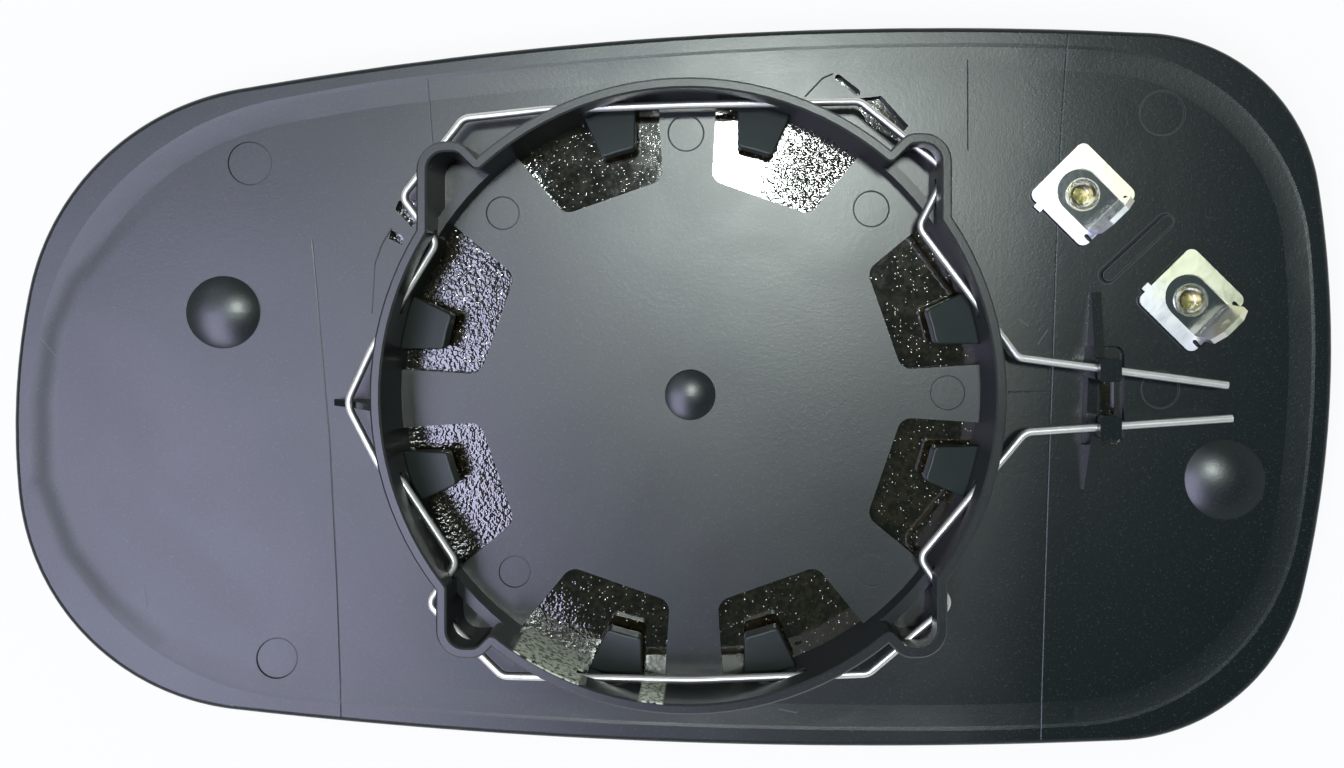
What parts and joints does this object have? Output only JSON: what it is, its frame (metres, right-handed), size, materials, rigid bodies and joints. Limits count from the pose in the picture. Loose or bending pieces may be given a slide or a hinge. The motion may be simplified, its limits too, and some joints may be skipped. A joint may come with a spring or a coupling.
{
  "type": "car door mirror glass",
  "caption": "Convex heated door mirror glass lying face down: moulded carrier plate with a round actuator socket, a bent spring wire round it, and riveted heater terminals.",
  "frame": {"origin": "centre of the actuator socket, on the back face of the carrier plate", "axes": "+X along the glass towards the heater terminals, +Y across it, +Z out of the back; the reflecting face looks down"},
  "size_m": [0.1838, 0.1013, 0.0167],
  "materials": {
    "plate_plastic": "satin black moulded plastic with fine grain",
    "heater_film": "dark adhesive heater film, a little glossy",
    "mirror": "polished convex mirror",
    "spring_steel": "bright drawn spring wire",
    "tinned_brass": "bright tin plate",
    "eyelet_brass": "bright rolled brass"
  },
  "bodies": {
    "root": {"backing_plate": "plate_plastic", "heater_pad": "heater_film", "mirror_glass": "mirror", "spring_wire": "spring_steel", "terminal_upper": "tinned_brass", "terminal_lower": "tinned_brass", "eyelet_upper": "eyelet_brass", "eyelet_lower": "eyelet_brass"}
  },
  "joints": []
}
